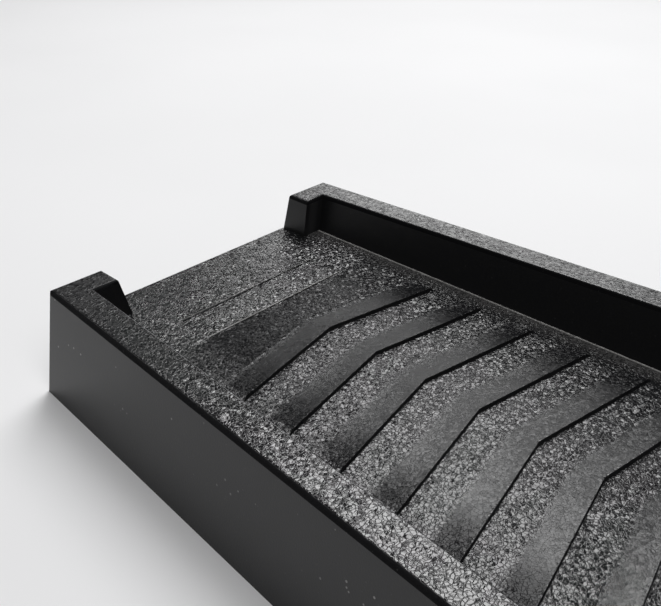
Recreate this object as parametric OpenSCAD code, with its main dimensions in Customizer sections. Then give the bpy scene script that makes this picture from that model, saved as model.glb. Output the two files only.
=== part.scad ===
// Splash block: a moulded tray that carries roof water from a downspout away from a wall.
// The back is at +Y, the water runs toward -Y, the ground is z = 0. Millimetres.

/* [Tray] */
// Length from the back to the discharge end, at the rims
length = 610; // [500:5:760]
// Width over the rims at the back
back_w = 208; // [180:1:300]
// Height of the rims above the ground
height = 61; // [54:1:80]
// How far each side runs outward for each millimetre of length
flare = 0.072; // [0:0.002:0.1]
// Lean of the outer side walls, in degrees
side_draft = 9.6; // [2:0.1:12]
// Lean of the back and front walls, in degrees
end_draft = 2; // [1:0.5:6]
// Thickness of the moulded sheet
sheet = 2.8; // [2:0.1:4]

/* [Rim] */
// Width of the flat rim
rim_w = 17.5; // [12:0.5:24]
// Rounding of the rim's outer edge
rim_r = 2.4; // [1:0.1:4]
// Rounding of the rim's inner edge
lip_r = 1.2; // [0.5:0.1:2]
// Lean of the channel's side walls, in degrees
channel_draft = 15; // [8:1:25]
// Rounding of the tray's upright corners
corner_r = 1.8; // [1:0.1:4]

/* [Back wall] */
// Depth of the back wall's top
back_wall = 16; // [10:0.5:22]
// Lean of the back wall's inner face, in degrees
back_draft = 5; // [2:1:12]
// Width of the notch for the downspout, at the rims
notch_w = 145; // [110:1:150]
// Lean of the notch's sides, in degrees
notch_draft = 13; // [4:1:20]
// Rounding of the notch's top edges
notch_r = 2.2; // [0.5:0.1:3]

/* [Floor] */
// Height of the channel floor at the back
floor_back = 38.6; // [32:0.1:42]
// Fall of the floor for each millimetre of length
fall = 0.035; // [0.01:0.001:0.04]
// Rounding of the floor's edge at the discharge end
mouth_r = 2; // [0.5:0.1:4]

/* [Chevrons] */
// Distance from the back to the first crest, on the centreline
first_crest = 104.5; // [85:0.5:140]
// Distance between crests, along the centreline
pitch = 32.5; // [24:0.5:45]
// Number of chevrons
chevrons = 15; // [4:1:15]
// Sweep of each arm toward the discharge end, in degrees
sweep = 10; // [4:0.1:14]
// Length of the ramp that climbs to a crest
ramp = 16.5; // [8:0.5:18]
// Height of a crest above the floor
crest_h = 2; // [1:0.1:3]
// Level length of the small drop after a crest
drop_run = 0.5; // [0.2:0.1:1]
// Distance from the rim's outer edge to the ends of the chevrons
chevron_inset = 37; // [34:0.5:48]
// Level length of the slope that closes the end of a chevron
chevron_end = 3; // [1:0.5:6]

/* [Panel] */
// Distance from the back to the first of the panel's two raised lines
line_back = 42.5; // [30:0.5:50]
// Distance between the two lines
line_gap = 22.5; // [12:0.5:30]
// Length of each line
line_len = 103; // [60:1:120]
// Width of each line
line_w = 1; // [0.6:0.1:2]
// Height of each line
line_h = 0.5; // [0.3:0.1:1]

/* [Hidden] */
$fn = 48;
flare_deg = atan(flare);
fall_deg = atan(fall);
// Length of a cutting form, well past both ends of the tray
reach = length + 400;
// Overlap of joined or cut forms
lap = 5;
// How far a rounding crosses the faces that it joins, so that it doesn't only touch them
bite = 0.01;
// How far the hollow's top corners stand in from the outside's top corners
side_in = sheet / cos(side_draft) - sheet * tan(side_draft);
end_in = sheet / cos(end_draft) - sheet * tan(end_draft);
// Chevron sizes square to an arm
arm_first = first_crest * cos(sweep);
arm_pitch = pitch * cos(sweep);
arm_ramp = ramp * cos(sweep);
// Height of the floor's edge at the discharge end, before it is rounded
mouth_z = (floor_back - fall * (length + height * tan(end_draft))) / (1 - fall * tan(end_draft));
// Directions that the +X side and the back look in
side_way = [cos(side_draft) * cos(flare_deg), cos(side_draft) * sin(flare_deg), sin(side_draft)];
back_way = [0, cos(end_draft), sin(end_draft)];
front_way = [0, -cos(end_draft), sin(end_draft)];

// Runs a profile along the +X side; its x = 0 is the rim's outer edge, its y is the height
module along_side() {
    translate([back_w / 2, 0, 0])
        rotate([0, 0, flare_deg])
            translate([0, reach / 2, 0])
                rotate([90, 0, 0])
                    linear_extrude(height = 2 * reach)
                        children();
}

// The space between the profile on the +X side and its mirror image on the -X side
module between_sides() {
    intersection() {
        along_side()
            children();
        mirror([1, 0, 0])
            along_side()
                children();
    }
}

// Runs a profile across the tray; its x = 0 is the top edge of the back
module across() {
    rotate([90, 0, 90])
        linear_extrude(height = 2 * reach, center = true)
            children();
}

// Solid up to a wall that leans in toward the top, where it turns over a rounded edge
module wall_profile(edge, top, lean, r) {
    turn = r * tan((90 - lean) / 2);
    polygon([
        [edge - reach, 0],
        [edge + top * tan(lean), 0],
        [edge + turn * sin(lean), top - turn * cos(lean)],
        [edge - turn, top],
        [edge - reach, top]
    ]);
    translate([edge - turn, top - r])
        circle(r);
}

// Open space up to a wall that leans out toward the top, where it turns over a rounded lip
module space_profile(edge, lean, r) {
    turn = r * tan((90 - lean) / 2);
    difference() {
        polygon([
            [edge - reach, 0],
            [edge - height * tan(lean), 0],
            [edge - turn * sin(lean), height - turn * cos(lean)],
            [edge + turn, height],
            [edge + turn, height + lap],
            [edge - reach, height + lap]
        ]);
        translate([edge + turn, height - r])
            circle(r);
    }
}

// Waste outside a rounded corner at the origin: one face of the corner looks toward +x, the other
// is turned from it by the given angle
module corner_waste(turn, r) {
    back = r * tan(turn / 2);
    face = [cos(turn), sin(turn)];
    difference() {
        polygon([
            [-r, -back],
            [lap, -back],
            [lap, lap * tan(turn / 2)],
            [-r, -back] + (r + lap) * face
        ]);
        translate([-r, -back])
            circle(r + bite);
    }
}

// Waste along the upright corner below the point top; the two faces look in the given directions,
// the second of them counterclockwise from the first
module upright_waste(top, first, second) {
    up = cross(first, second) / norm(cross(first, second));
    aside = cross(up, first);
    multmatrix([
        [first.x, aside.x, up.x, top.x],
        [first.y, aside.y, up.y, top.y],
        [first.z, aside.z, up.z, top.z]
    ])
        linear_extrude(height = 4 * height, center = true)
            corner_waste(acos(first * second), corner_r);
}

// Waste at both upright corners of the +X side
module side_waste() {
    upright_waste([back_w / 2, 0, height], side_way, back_way);
    upright_waste([back_w / 2 + length * flare, -length, height], front_way, side_way);
}

// Waste along the floor's edge at the discharge end
module mouth_waste() {
    across()
        translate([-length - (height - mouth_z) * tan(end_draft), mouth_z])
            rotate(90 + fall_deg)
                corner_waste(90 - end_draft - fall_deg, mouth_r);
}

// Tray without its channel, standing in from the outside by the given amounts
module tray_form(side_off, end_off, top, r) {
    intersection() {
        between_sides()
            wall_profile(-side_off, top, side_draft, r);
        across()
            wall_profile(-end_off, top, end_draft, r);
        translate([0, -length, 0])
            mirror([0, 1, 0])
                across()
                    wall_profile(-end_off, top, end_draft, r);
    }
}

// Channel and notch together, widened all round by the thickness t
module channel_form(t) {
    r = lip_r + t;
    intersection() {
        between_sides()
            space_profile(t / cos(channel_draft) - rim_w, channel_draft, r);
        across()
            space_profile(t / cos(back_draft) - back_wall, back_draft, r);
    }
    notch_edge = notch_w / 2 + t / cos(notch_draft);
    translate([0, lap, 0])
        rotate([90, 0, 0])
            linear_extrude(height = lap + 2 * back_wall)
                intersection() {
                    space_profile(notch_edge, notch_draft, notch_r + t);
                    mirror([1, 0])
                        space_profile(notch_edge, notch_draft, notch_r + t);
                }
}

// Places things on the sloping floor, whose surface is their z = 0
module on_floor() {
    translate([0, 0, floor_back])
        rotate([fall_deg, 0, 0])
            children();
}

// Row of ramps with small drops, square to an arm; the drops stand back upstream by t
module chevron_profile(t) {
    crest = crest_h * (arm_ramp - t) / arm_ramp;
    polygon([
        [0, -lap],
        for (i = [0 : chevrons - 1])
            let (s = arm_first + i * arm_pitch)
                each [
                    [arm_ramp - s, 0],
                    [t - s, crest],
                    [t - s - drop_run, 0]
                ],
        [-arm_first - chevrons * arm_pitch, -lap]
    ]);
}

// Arms of the chevrons on the +X side, from the centreline to their sloped ends
module chevron_arms(t) {
    end_slope = chevron_end / crest_h;
    intersection() {
        rotate([0, 0, -sweep])
            rotate([90, 0, 90])
                linear_extrude(height = reach)
                    chevron_profile(t);
        translate([0, -reach, -lap])
            cube([reach, reach, 2 * lap]);
        along_side()
            translate([-chevron_inset - t, 0])
                polygon([
                    [-reach, -lap],
                    [end_slope * lap, -lap],
                    [-end_slope * lap, lap],
                    [-reach, lap]
                ]);
    }
}

// Everything below the surface of the floor, chevrons included
module floor_form(t) {
    on_floor()
        translate([-reach, -2 * reach, -reach])
            cube([2 * reach, 3 * reach, reach]);
    on_floor() {
        chevron_arms(t);
        mirror([1, 0, 0])
            chevron_arms(t);
    }
}

module panel_lines() {
    on_floor()
        for (y = [line_back, line_back + line_gap])
            translate([-line_len / 2, -y - line_w / 2, -sheet / 2])
                cube([line_len, line_w, line_h + sheet / 2]);
}

// The whole sheet, with the back's top edge at y = 0
module moulded_sheet() {
    difference() {
        tray_form(0, 0, height, rim_r);
        side_waste();
        mirror([1, 0, 0])
            side_waste();
        difference() {
            channel_form(0);
            difference() {
                floor_form(0);
                mouth_waste();
            }
        }
        difference() {
            tray_form(side_in, end_in, height - sheet, rim_r / 4);
            difference() {
                channel_form(sheet);
                translate([0, 0, -sheet / cos(fall_deg)])
                    floor_form(sheet);
            }
        }
    }
    panel_lines();
}

module splash_block() {
    color("#1d1e20")
        translate([0, length / 2, 0])
            moulded_sheet();
}

splash_block();
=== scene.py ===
"""Looks of the splash block: one moulded sheet of black plastic on a pale studio floor.

Lengths are metres in the row frame: the back is at +Y, the discharge end at -Y, the ground is z = 0.
"""

import math
from types import SimpleNamespace

import bmesh
import bpy
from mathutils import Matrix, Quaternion, Vector


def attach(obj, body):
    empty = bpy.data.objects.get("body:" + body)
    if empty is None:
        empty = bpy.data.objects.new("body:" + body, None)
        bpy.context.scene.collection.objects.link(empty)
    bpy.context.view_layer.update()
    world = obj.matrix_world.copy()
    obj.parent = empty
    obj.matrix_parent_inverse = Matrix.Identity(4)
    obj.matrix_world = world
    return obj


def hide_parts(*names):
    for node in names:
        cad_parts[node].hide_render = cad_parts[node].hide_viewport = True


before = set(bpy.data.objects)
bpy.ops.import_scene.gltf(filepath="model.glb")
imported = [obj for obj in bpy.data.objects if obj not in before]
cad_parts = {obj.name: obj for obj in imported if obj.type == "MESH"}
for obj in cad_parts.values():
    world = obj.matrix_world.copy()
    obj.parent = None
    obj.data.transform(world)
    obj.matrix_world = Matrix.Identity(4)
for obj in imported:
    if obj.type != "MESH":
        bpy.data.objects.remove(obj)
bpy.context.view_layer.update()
NODE = "splash_block"
MM = 0.001

# Sizes that the finish follows, as in the part's source
BACK_Y = 305 * MM          # the rims' top edge at the back
HALF_BACK = 104 * MM       # half the width over the rims at the back
FLARE = 0.072              # how far each side runs outward for each metre of length
RIM_TOP = 61 * MM
RIM_WIDTH = 17.5 * MM
CHANNEL_LEAN = math.tan(math.radians(15))
FLOOR_BACK = 38.6 * MM     # height of the floor at the back
FALL = 0.035               # fall of the floor for each metre of length
FIRST_CREST = 104.5 * MM   # from the back, on the centreline
PITCH = 32.5 * MM
CHEVRONS = 15
SWEEP = math.tan(math.radians(10))
RAMP = 16.5 * MM
ARM_INSET = 40 * MM        # from the rim's outer edge to the slopes that end the arms
FIRST_LINE = 42.5 * MM     # from the back to the first of the panel's raised lines
SECOND_LINE = 65 * MM
HALF_LINE = 51.5 * MM      # half the lines' length

# Where the channel's sides stand on the floor: half the width at the back, and its gain with length
HALF_FOOT = HALF_BACK - RIM_WIDTH - (RIM_TOP - FLOOR_BACK) * CHANNEL_LEAN
FOOT_FLARE = FLARE - FALL * CHANNEL_LEAN

# Small roundings
FOOT_ROUND = 2.0 * MM      # at the foot of the channel's sides
CREST_ROUND = 0.9 * MM     # along the chevrons' crests
LINE_ROUND = 0.25 * MM     # along the tops of the panel's lines

# Grain and colours of the plastic
GRAIN_DEPTH = 0.6 * MM
FACET_SLOPE = 0.125        # steepest lean of the grain's facets along an axis
BORDER_WOBBLE = 6 * MM     # how unevenly the borders between smooth and grained places run
RIM_BAND = 2.6 * MM        # depth of the rims' top with its rounded edges
FLOOR_LIMIT = 49 * MM      # the floor and its chevrons lie lower than this
BLACK = (0.007, 0.007, 0.0078, 1.0)
DUST = (0.10, 0.10, 0.10, 1.0)
# Pale colour of the painted highlights, and of the specks on the walls
GRIT_AND_HIGHLIGHT = (0.46, 0.45, 0.44, 1.0)
WHITE = (1.0, 1.0, 1.0, 1.0)

FLOOR_REACH = 14.0         # half the studio floor's width
LAMP_AIM = Vector((0, 120 * MM, 40 * MM))


class Graph:
    """Small helper that adds nodes to one node tree and links them."""

    def __init__(self, tree):
        self.tree = tree
        tree.nodes.clear()

    def node(self, kind, inputs=None, **settings):
        made = self.tree.nodes.new(kind)
        for name, value in settings.items():
            setattr(made, name, value)
        for name, value in (inputs or {}).items():
            if isinstance(value, bpy.types.NodeSocket):
                self.tree.links.new(value, made.inputs[name])
            else:
                made.inputs[name].default_value = value
        return made

    def math(self, operation, *values):
        return self.node("ShaderNodeMath", dict(enumerate(values)), operation=operation).outputs[0]

    def plus(self, first, *others):
        for value in others:
            first = self.math("ADD", first, value)
        return first

    def minus(self, a, b):
        return self.math("SUBTRACT", a, b)

    def times(self, first, *others):
        for value in others:
            first = self.math("MULTIPLY", first, value)
        return first

    def above(self, value, limit):
        return self.math("GREATER_THAN", value, limit)

    def below(self, value, limit):
        return self.math("LESS_THAN", value, limit)

    def vector(self, operation, *values):
        """What the operation gives: a number for a dot product, otherwise a vector."""
        made = self.node("ShaderNodeVectorMath", dict(enumerate(values)), operation=operation)
        return made.outputs["Value" if operation == "DOT_PRODUCT" else "Vector"]

    def split(self, vector):
        return self.node("ShaderNodeSeparateXYZ", {"Vector": vector}).outputs

    def ease(self, value, low, high, to_low=0.0, to_high=1.0):
        """value from low to high becomes to_low to to_high, with soft ends."""
        made = self.node("ShaderNodeMapRange", {"Value": value, "From Min": low, "From Max": high,
                                                "To Min": to_low, "To Max": to_high},
                         interpolation_type="SMOOTHSTEP")
        return made.outputs["Result"]

    def mix(self, factor, a, b):
        """Colour between a and b."""
        return self.node("ShaderNodeMix", {"Factor": factor, 6: a, 7: b}, data_type="RGBA").outputs[2]

    def blend(self, factor, a, b):
        """Number between a and b."""
        return self.node("ShaderNodeMix", {"Factor": factor, 2: a, 3: b}, data_type="FLOAT").outputs[0]

    def noise(self, place, scale, detail=2.0, roughness=0.5):
        made = self.node("ShaderNodeTexNoise", {"Vector": place, "Scale": scale, "Detail": detail,
                                                "Roughness": roughness})
        return made.outputs["Fac"]

    def cells(self, place, scale, feature):
        """Outputs of a pattern of random cells."""
        made = self.node("ShaderNodeTexVoronoi", {"Vector": place, "Scale": scale, "Randomness": 1.0},
                         feature=feature)
        return made.outputs


def new_graph(blocks, name):
    """New material or world, and the helper for its empty node tree."""
    made = blocks.new(name)
    made.use_nodes = True
    return made, Graph(made.node_tree)


def chevron_masks(g, m):
    """The smooth chevron ramps, and their duller ends."""
    along = g.plus(g.minus(m.back, g.times(m.side, SWEEP)), m.wobble)
    first = g.minus(along, FIRST_CREST - RAMP)
    phase = g.math("FRACT", g.math("DIVIDE", first, PITCH))
    start = g.ease(phase, 0.0, 0.12)
    stop = g.ease(phase, RAMP / PITCH - 0.004, RAMP / PITCH + 0.004, 1.0, 0.0)
    begun = g.above(first, 0.0)
    ended = g.below(first, (CHEVRONS - 1) * PITCH + RAMP)
    edge = g.plus(g.times(m.back, FLARE), HALF_BACK - ARM_INSET)
    within = g.minus(edge, g.plus(m.side, m.wobble))
    row = g.times(start, stop, begun, ended, g.above(within, 0.0))
    ramp = g.times(row, g.ease(within, 0.0, 22 * MM), m.top)
    ends = g.times(row, g.ease(within, 8 * MM, 34 * MM, 1.0, 0.0))
    return ramp, ends


def zones(g):
    """Coordinates and masks that the finish is laid out by; a mask is 1 inside its zone."""
    place = g.node("ShaderNodeTexCoord").outputs
    m = SimpleNamespace(where=place["Object"])
    m.x, y, m.z = g.split(m.where)
    m.up = g.split(place["Normal"])[2]
    m.back = g.minus(BACK_Y, y)
    m.side = g.math("ABSOLUTE", m.x)
    m.uneven = g.minus(g.noise(m.where, 900.0), 0.5)
    m.wobble = g.times(m.uneven, BORDER_WOBBLE)
    m.top = g.ease(g.plus(m.up, g.times(m.uneven, 0.5)), 0.36, 0.66)
    m.floor = g.times(g.below(m.z, FLOOR_LIMIT), m.top)
    m.ramp, m.ends = chevron_masks(g, m)

    # The rims' top, its turned edges and the far rim, whose grain is worn
    rim = g.above(m.z, RIM_TOP - RIM_BAND)
    m.turned = g.times(g.ease(m.up, 0.88, 0.99, 1.0, 0.0), rim)
    m.worn = g.times(rim, g.ease(m.x, 70 * MM, 90 * MM))

    # The panel ends at its second line; a strip runs from there to the first ramp
    past = g.ease(g.plus(m.back, m.wobble), SECOND_LINE, SECOND_LINE + 2 * MM)
    ahead = g.plus(g.times(m.side, SWEEP), FIRST_CREST - RAMP)
    beside = g.ease(m.side, HALF_LINE - 4 * MM, HALF_LINE + 24 * MM, 1.0, 0.25)
    m.strip = g.times(past, g.below(m.back, ahead), m.floor, beside)
    m.panel = g.times(g.minus(1.0, past), m.floor)
    return m


def grained_normal(g, m):
    """Small facets, each tilted its own way, between narrow valleys and over a finer tooth."""
    bend = g.node("ShaderNodeTexNoise", {"Vector": m.where, "Scale": 420.0, "Detail": 1.0})
    shove = g.vector("MULTIPLY", bend.outputs["Color"], (1.6 * MM, 1.6 * MM, 1.6 * MM))
    bent = g.vector("ADD", m.where, shove)
    borders = g.cells(bent, 620.0, "DISTANCE_TO_EDGE")
    valleys = g.minus(g.ease(borders["Distance"], 0.0, 0.14), 0.7)
    facets = g.cells(bent, 620.0, "F1")
    lean = g.vector("SUBTRACT", facets["Color"], (0.5, 0.5, 0.5))
    reach = g.vector("SUBTRACT", bent, facets["Position"])
    tilt = g.times(g.vector("DOT_PRODUCT", reach, lean), 2 * FACET_SLOPE / GRAIN_DEPTH)
    swell = g.minus(g.noise(m.where, 480.0), 0.5)
    relief = g.plus(g.times(valleys, 0.08), g.times(swell, 0.15), tilt)

    # Light on the ramps and the far rim, and a little stronger and weaker in patches
    patches = g.noise(m.where, 60.0, 3.0, 0.55)
    grain = g.times(m.top, g.blend(m.ramp, 1.0, 0.36), g.blend(m.worn, 1.0, 0.5))
    relief = g.times(relief, grain, g.ease(patches, 0.3, 0.7, 0.8, 1.2))
    fine = g.times(g.noise(m.where, 1300.0, 2.0, 0.6), 0.10)
    bump = g.node("ShaderNodeBump", {"Height": g.plus(relief, fine), "Strength": 1.0,
                                     "Distance": GRAIN_DEPTH})
    return bump.outputs["Normal"]


def roughness(g, m):
    """Satin skin, glossier where it is grained, with faint smears and dull turned edges."""
    smears = g.noise(m.where, 14.0, 4.0, 0.6)
    rough = g.plus(g.blend(m.top, 0.36, 0.13), g.times(smears, 0.06), g.times(m.ramp, 0.12))
    return g.blend(m.turned, rough, 0.85)


def shine(g, m):
    """Specular level: high on the rims and the panel, low on the strip and on the ramps' ends."""
    level = g.blend(m.top, 0.5, g.ease(m.z, RIM_TOP - 6 * MM, RIM_TOP - 2 * MM, 0.44, 0.62))
    dull = g.ease(m.x, -50 * MM, 60 * MM, 0.08, 0.30)
    for zone, value in ((m.ramp, 0.36), (m.ends, 0.12), (m.turned, 0.12), (m.strip, dull), (m.panel, 0.85)):
        level = g.blend(zone, level, value)
    return level


def painted_foot_highlight(g, m):
    """Painted highlight: a pale line along the foot of the channel's sides, where the fillet shows bright,
    and a faint skirt of painted light on the floor beside it.
    """
    # Painted highlight, not grit: pale colour stands in for light on the foot's fillet
    foot = g.plus(g.times(m.back, FOOT_FLARE), HALF_FOOT)
    off = g.math("ABSOLUTE", g.minus(m.side, foot))
    away = g.ease(g.plus(off, g.times(m.uneven, 2 * MM)), 0.6 * MM, 1.8 * MM)
    skirt = g.ease(g.minus(off, g.times(m.uneven, 20 * MM)), 0.0, 14 * MM, 0.14, 0.0)
    patchy = g.ease(m.uneven, -0.15, 0.1, 0.4, 1.0)
    return g.times(g.blend(away, 0.95, skirt), m.floor, g.above(m.up, 0.42), patchy)


def painted_line_highlight(g, m, line, highlight_level):
    """Painted highlight: the top of one of the panel's lines, coloured paler."""
    apart = g.math("ABSOLUTE", g.minus(m.back, line))
    lit_top = g.ease(apart, 0.3 * MM, 0.6 * MM, highlight_level, 0.0)
    return g.times(lit_top, g.below(m.side, HALF_LINE), m.floor)


def wall_specks(g, m):
    """A few pale specks that cling to the upper part of the outer walls."""
    dots = g.cells(m.where, 210.0, "F1")
    speck = g.ease(dots["Distance"], 0.08, 0.15, 0.5, 0.0)
    chance = g.node("ShaderNodeSeparateColor", {"Color": dots["Color"]}).outputs[0]
    patches = g.ease(g.noise(m.where, 11.0, 1.0), 0.35, 0.6)
    height = g.ease(m.z, 22 * MM, 34 * MM)
    return g.times(speck, g.above(chance, 0.72), patches, height, g.below(m.up, 0.2))


def tint(g, m):
    dust = g.times(g.ease(g.noise(m.where, 700.0, 1.0, 0.4), 0.74, 0.80), 0.25)
    # Pale marks: painted highlights along the foot and on the lines' tops, and pale specks on the walls
    pale = painted_foot_highlight(g, m)
    # Painted highlights on the tops of the panel's lines, stronger on the second line
    for line, highlight_level in ((FIRST_LINE, 0.12), (SECOND_LINE, 0.35)):
        pale = g.math("MAXIMUM", pale, painted_line_highlight(g, m, line, highlight_level))
    pale = g.math("MAXIMUM", pale, wall_specks(g, m))
    return g.mix(pale, g.mix(dust, BLACK, DUST), GRIT_AND_HIGHLIGHT)


def black_plastic():
    material, g = new_graph(bpy.data.materials, "black_plastic")
    m = zones(g)
    surface = g.node("ShaderNodeBsdfPrincipled", {
        "Base Color": tint(g, m), "Roughness": roughness(g, m), "Specular IOR Level": shine(g, m),
        "IOR": 1.5, "Normal": grained_normal(g, m)})
    g.node("ShaderNodeOutputMaterial", {"Surface": surface.outputs[0]})
    return material


def is_sharp(edge, least=25.0):
    return len(edge.link_faces) == 2 and math.degrees(edge.calc_face_angle(0.0)) > least


def is_level(face):
    return face.normal.z > 0.95


def is_floor(face):
    return is_level(face) and face.calc_center_median().z < RIM_TOP - 10 * MM


def is_channel_wall(face):
    return 0.05 < face.normal.z < 0.6 and abs(face.calc_center_median().x) < 135 * MM


def is_foot(edge):
    return (is_sharp(edge) and any(map(is_floor, edge.link_faces))
            and any(map(is_channel_wall, edge.link_faces)) and not edge.is_convex)


def is_drop(face):
    """True for the steep faces below the crests."""
    small = face.calc_area() < 400 * MM * MM
    return face.normal.y < -0.8 and small and face.calc_center_median().y > -290 * MM


def is_crest(edge):
    return (is_sharp(edge, 40) and any(map(is_drop, edge.link_faces))
            and edge.calc_length() > 20 * MM and edge.is_convex)


def is_line_edge(edge):
    """True for the long top edges of the panel's lines."""
    narrow = any(is_level(f) and f.calc_area() < 240 * MM * MM for f in edge.link_faces)
    return is_sharp(edge, 60) and edge.is_convex and edge.calc_length() > 90 * MM and narrow


def round_off(bm, test, width, segments):
    """Rounds the edges that pass the test."""
    edges = [e for e in bm.edges if test(e)]
    bmesh.ops.bevel(bm, geom=edges, offset=width, offset_type="OFFSET", segments=segments,
                    profile=0.5, affect="EDGES", clamp_overlap=True)
    bm.normal_update()


def build_tray():
    """The CAD form with clean flat faces and its moulded corners rounded."""
    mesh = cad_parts[NODE].data.copy()
    bm = bmesh.new()
    bm.from_mesh(mesh)
    bmesh.ops.remove_doubles(bm, verts=bm.verts, dist=0.002 * MM)
    bmesh.ops.dissolve_limit(bm, angle_limit=math.radians(0.4), verts=bm.verts, edges=bm.edges,
                             delimit={"NORMAL"})
    bm.normal_update()
    round_off(bm, is_foot, FOOT_ROUND, 6)
    round_off(bm, is_crest, CREST_ROUND, 4)
    round_off(bm, is_line_edge, LINE_ROUND, 2)
    bm.to_mesh(mesh)
    bm.free()
    mesh.materials.clear()
    mesh.materials.append(black_plastic())
    tray = bpy.data.objects.new("tray", mesh)
    bpy.context.scene.collection.objects.link(tray)
    mesh.shade_smooth()
    mesh.set_sharp_from_angle(angle=math.radians(28))
    tray.modifiers.new("even_normals", "WEIGHTED_NORMAL").keep_sharp = True
    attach(tray, "root")
    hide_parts(NODE)


def floor_material():
    """Pale matt paint, which the camera sees a little lighter."""
    material, g = new_graph(bpy.data.materials, "pale_floor")
    where = g.node("ShaderNodeTexCoord").outputs["Object"]
    tone = g.ease(g.noise(where, 3.0), 0.3, 0.7, 0.80, 0.82)
    colour = g.node("ShaderNodeCombineColor", {"Red": tone, "Green": tone, "Blue": g.times(tone, 1.01)})
    paint = g.node("ShaderNodeBsdfDiffuse", {"Color": colour.outputs[0]})
    lift = g.node("ShaderNodeEmission", {"Color": WHITE, "Strength": 0.03})
    lighter = g.node("ShaderNodeAddShader", {0: paint.outputs[0], 1: lift.outputs[0]})
    seen = g.node("ShaderNodeLightPath").outputs["Is Camera Ray"]
    shown = g.node("ShaderNodeMixShader", {"Fac": seen, 1: paint.outputs[0], 2: lighter.outputs[0]})
    g.node("ShaderNodeOutputMaterial", {"Surface": shown.outputs[0]})
    return material


def build_floor():
    corners = [(x * FLOOR_REACH, y * FLOOR_REACH, 0) for x, y in ((-1, -1), (1, -1), (1, 1), (-1, 1))]
    mesh = bpy.data.meshes.new("studio_floor")
    mesh.from_pydata(corners, [], [(0, 1, 2, 3)])
    mesh.materials.append(floor_material())
    floor = bpy.data.objects.new("studio_floor", mesh)
    bpy.context.scene.collection.objects.link(floor)


def sine(degrees):
    return math.sin(math.radians(degrees))


def cosine(degrees):
    return math.cos(math.radians(degrees))


def bearing(azimuth, elevation):
    """Unit vector; azimuth counts from +X toward +Y, both in degrees."""
    flat = cosine(elevation)
    return Vector((cosine(azimuth) * flat, sine(azimuth) * flat, sine(elevation)))


def softbox(name, azimuth, elevation, distance, size, glow):
    """Area lamp that faces the tray; glow is its brightness, where 1 is white."""
    lamp = bpy.data.lights.new(name, "AREA")
    lamp.shape = "RECTANGLE"
    lamp.size, lamp.size_y = size
    lamp.energy = glow * math.pi * size[0] * size[1]
    holder = bpy.data.objects.new(name, lamp)
    way = bearing(azimuth, elevation)
    holder.location = LAMP_AIM + way * distance
    holder.rotation_mode = "QUATERNION"
    holder.rotation_quaternion = way.to_track_quat("Z", "Y")
    bpy.context.scene.collection.objects.link(holder)


def build_world():
    """A bright low panel beside a dim band, dark elsewhere; the camera sees plain white."""
    world, g = new_graph(bpy.data.worlds, "studio")
    way = g.node("ShaderNodeTexCoord").outputs["Generated"]
    height = g.split(way)[2]
    level = g.vector("NORMALIZE", g.vector("MULTIPLY", way, (1.0, 1.0, 0.0)))

    # How close each direction comes to the azimuths 0 and 45, as cosines
    from_0 = g.vector("DOT_PRODUCT", level, bearing(0, 0))
    from_45 = g.vector("DOT_PRODUCT", level, bearing(45, 0))

    # The panel fades toward its sides, upward, and a little toward the horizon
    spread = g.times(g.ease(from_0, cosine(49), cosine(40)), g.ease(from_45, cosine(55), cosine(8)))
    panel = g.times(g.ease(height, sine(18), sine(30), 3.1, 0.45),
                    g.ease(height, sine(3), sine(13), 0.3, 1.0))
    band = g.ease(height, sine(28), sine(33), 0.34, 0.05)
    dim = g.blend(g.ease(from_45, cosine(42), cosine(25)), 0.06, band)
    seen = g.node("ShaderNodeLightPath").outputs["Is Camera Ray"]
    shade = g.blend(seen, g.blend(spread, dim, panel), 1.0)
    colour = g.node("ShaderNodeCombineColor", {"Red": shade, "Green": shade, "Blue": shade})
    sky = g.node("ShaderNodeBackground", {"Color": colour.outputs[0], "Strength": 1.0})
    g.node("ShaderNodeOutputWorld", {"Surface": sky.outputs[0]})
    bpy.context.scene.world = world


def build_camera():
    """Viewpoint beside and above the back: a 44.9 mm lens on a 36 mm wide frame, nearly level."""
    target = Vector((0.0209, 0.2198, 0.035))
    distance = 0.474
    forward = -bearing(42.58 + 180, 30.65)
    roll = Quaternion((0, 0, 1), math.radians(0.83))
    camera = bpy.data.objects.new("camera", bpy.data.cameras.new("camera"))
    camera.data.lens = 44.94
    camera.data.sensor_width = 36
    camera.location = target - forward * distance
    camera.rotation_mode = "QUATERNION"
    camera.rotation_quaternion = forward.to_track_quat("-Z", "Y") @ roll
    bpy.context.scene.collection.objects.link(camera)
    bpy.context.scene.camera = camera


build_tray()
build_floor()
build_world()
softbox("key", 31, 59, 2.4, (0.98, 1.5), 9.4)
softbox("fill", 245, 58, 2.5, (1.5, 1.5), 3.2)
build_camera()
bpy.context.scene.view_settings.view_transform = "Standard"
